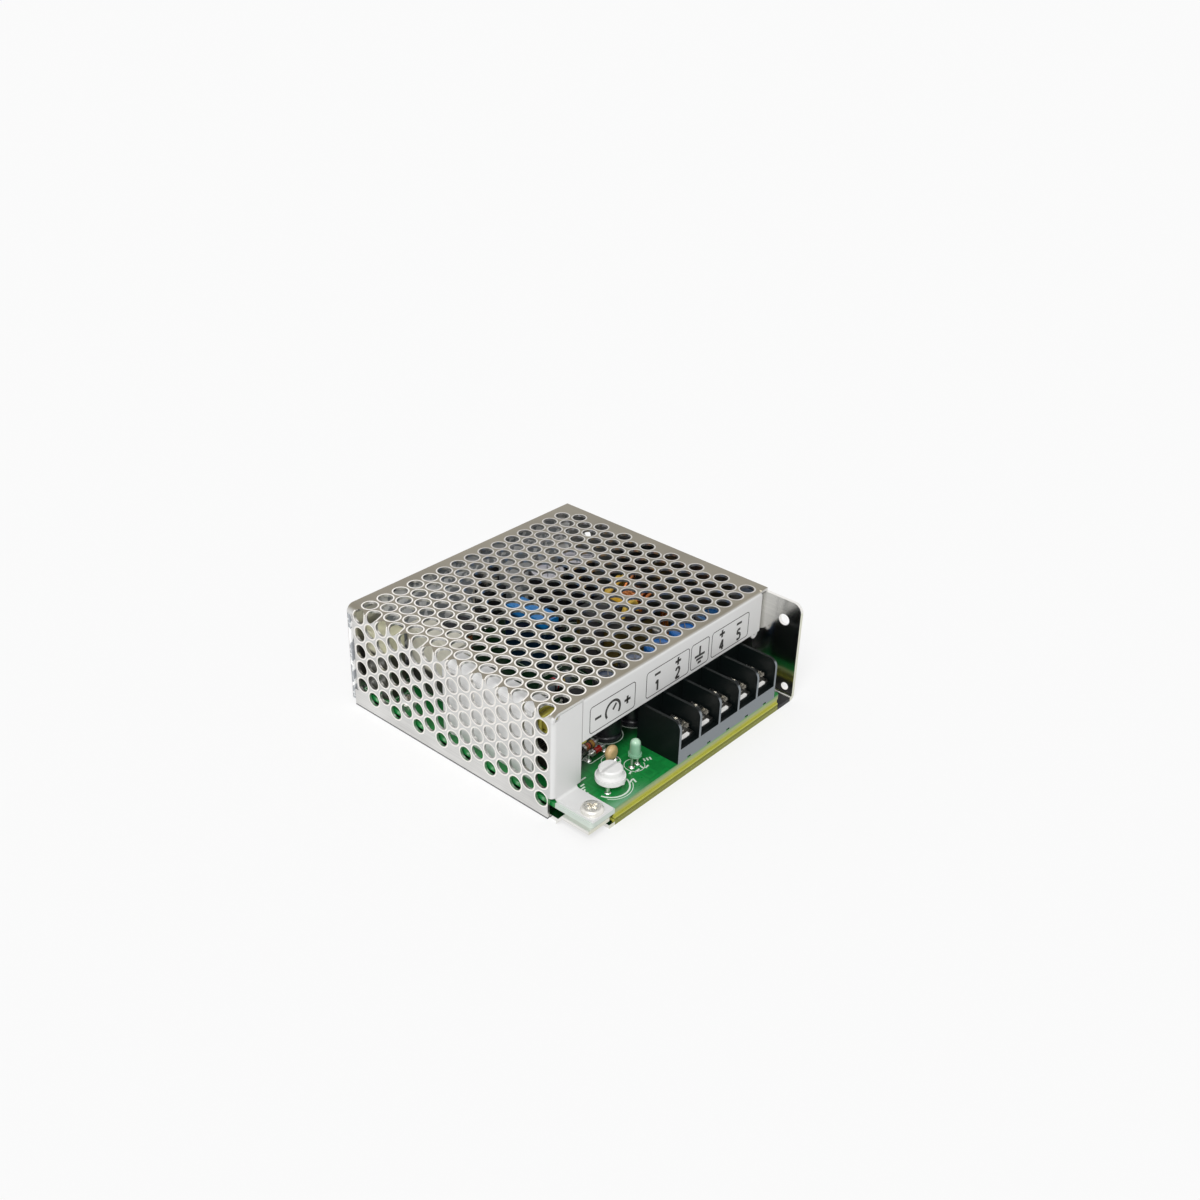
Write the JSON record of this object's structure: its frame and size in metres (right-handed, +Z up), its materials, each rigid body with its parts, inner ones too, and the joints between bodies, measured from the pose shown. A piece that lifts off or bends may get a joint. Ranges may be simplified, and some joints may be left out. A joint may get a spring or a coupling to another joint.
{
  "type": "dc-dc converter",
  "caption": "Enclosed dc-dc converter with a perforated folded cover, an open front shelf with a screw terminal block, a trimmer and an indicator lamp.",
  "frame": {"origin": "middle of the base, on the surface that the converter stands on", "axes": "+X to the right seen from the terminals, +Y from the terminals to the back, +Z up"},
  "size_m": [0.097, 0.098, 0.035],
  "materials": {
    "zinc_sheet": "bare sheet metal, finely brushed",
    "cover_sheet": "bare perforated sheet metal, bright at the hole rims",
    "film": "thin glossy yellow film",
    "board": "green lacquer on a pale yellow laminate",
    "black_moulding": "satin black moulded plastic",
    "nickel": "bright nickel plate",
    "white_plastic": "matt white moulded plastic",
    "green_lens": "cloudy pale green lens",
    "ferrite": "dull dark grey ceramic",
    "black_plastic": "dull black moulded plastic",
    "yellow_tape": "yellow wrapping tape",
    "ring_core": "painted powder core",
    "copper_wire": "lacquered copper wire",
    "blue_sleeve": "blue shrink sleeve with a bare top",
    "black_sleeve": "black shrink sleeve with a bare top",
    "blue_resin": "glossy blue resin",
    "cream_resin": "cream coloured plastic case",
    "yellow_resin": "olive yellow plastic case",
    "tan_resin": "dipped tan ceramic",
    "sink": "bright rolled aluminium",
    "pad": "soft insulating pad",
    "glass": "clear glass tube with plated caps",
    "red_glass": "red glass bead",
    "brown_lacquer": "brown lacquer with colour rings",
    "grey_lacquer": "grey fireproof lacquer"
  },
  "bodies": {
    "converter": {"chassis": "zinc_sheet", "cover": "cover_sheet", "circuit_board": "board", "terminal_housing": "black_moulding", "terminal_contacts": "nickel", "trimmer_base": "white_plastic", "indicator_lamp": "green_lens", "cover_screw": "nickel", "flush_screws": "nickel", "blue_film_capacitor": "blue_resin", "board_screws": "nickel", "control_chip": "black_plastic", "cream_film_capacitor": "cream_resin", "disc_capacitor": "tan_resin", "fuse": "glass", "fuse_clips": "nickel", "glass_diode": "red_glass", "heat_sink": "sink", "input_capacitor_1": "black_sleeve", "input_capacitor_2": "black_sleeve", "input_choke_core": "ferrite", "input_choke_winding": "copper_wire", "insulating_film": "film", "optocoupler": "white_plastic", "output_capacitor_1": "black_sleeve", "output_capacitor_2": "blue_sleeve", "output_capacitor_3": "blue_sleeve", "output_capacitor_4": "black_sleeve", "output_choke_core": "ring_core", "output_choke_winding": "copper_wire", "power_resistor": "grey_lacquer", "rectifier": "black_plastic", "rectifier_pad": "pad", "rectifier_screw": "nickel", "small_capacitor": "black_sleeve", "small_resistor": "brown_lacquer", "switch_pad": "pad", "switch_screw": "nickel", "switch_transistor": "black_plastic", "transformer_bobbin": "black_plastic", "transformer_core": "ferrite", "transformer_winding": "yellow_tape", "yellow_film_capacitor": "yellow_resin"},
    "trimmer_knob": {"trimmer_knob": "white_plastic"},
    "clamp_1": {"terminal_clamp_1": "nickel"},
    "screw_1": {"terminal_screw_1": "nickel"},
    "clamp_2": {"terminal_clamp_2": "nickel"},
    "screw_2": {"terminal_screw_2": "nickel"},
    "clamp_3": {"terminal_clamp_3": "nickel"},
    "screw_3": {"terminal_screw_3": "nickel"},
    "clamp_4": {"terminal_clamp_4": "nickel"},
    "screw_4": {"terminal_screw_4": "nickel"},
    "clamp_5": {"terminal_clamp_5": "nickel"},
    "screw_5": {"terminal_screw_5": "nickel"}
  },
  "joints": [
    {"name": "trimmer_turn", "type": "hinge", "parent": "converter", "child": "trimmer_knob", "pos_m": [-0.03071, -0.041, 0.0115], "axis": [0, 0, 1], "range_deg": [-130, 130]},
    {"name": "clamp_lift_1", "type": "slide", "parent": "converter", "child": "clamp_1", "axis": [0, 0, 1], "range_m": [0, 0.003]},
    {"name": "screw_turn_1", "type": "hinge", "parent": "clamp_1", "child": "screw_1", "pos_m": [-0.005, -0.0422, 0.0133], "axis": [0, 0, 1], "range_deg": [0, 2160]},
    {"name": "clamp_lift_2", "type": "slide", "parent": "converter", "child": "clamp_2", "axis": [0, 0, 1], "range_m": [0, 0.003]},
    {"name": "screw_turn_2", "type": "hinge", "parent": "clamp_2", "child": "screw_2", "pos_m": [0.0043, -0.0422, 0.0133], "axis": [0, 0, 1], "range_deg": [0, 2160]},
    {"name": "clamp_lift_3", "type": "slide", "parent": "converter", "child": "clamp_3", "axis": [0, 0, 1], "range_m": [0, 0.003]},
    {"name": "screw_turn_3", "type": "hinge", "parent": "clamp_3", "child": "screw_3", "pos_m": [0.0136, -0.0422, 0.0133], "axis": [0, 0, 1], "range_deg": [0, 2160]},
    {"name": "clamp_lift_4", "type": "slide", "parent": "converter", "child": "clamp_4", "axis": [0, 0, 1], "range_m": [0, 0.003]},
    {"name": "screw_turn_4", "type": "hinge", "parent": "clamp_4", "child": "screw_4", "pos_m": [0.0229, -0.0422, 0.0133], "axis": [0, 0, 1], "range_deg": [0, 2160]},
    {"name": "clamp_lift_5", "type": "slide", "parent": "converter", "child": "clamp_5", "axis": [0, 0, 1], "range_m": [0, 0.003]},
    {"name": "screw_turn_5", "type": "hinge", "parent": "clamp_5", "child": "screw_5", "pos_m": [0.0322, -0.0422, 0.0133], "axis": [0, 0, 1], "range_deg": [0, 2160]}
  ],
  "couplings": [
    {"joint": "screw_turn_1", "follows": "clamp_lift_1", "rad_per_m": 12566},
    {"joint": "screw_turn_2", "follows": "clamp_lift_2", "rad_per_m": 12566},
    {"joint": "screw_turn_3", "follows": "clamp_lift_3", "rad_per_m": 12566},
    {"joint": "screw_turn_4", "follows": "clamp_lift_4", "rad_per_m": 12566},
    {"joint": "screw_turn_5", "follows": "clamp_lift_5", "rad_per_m": 12566}
  ]
}
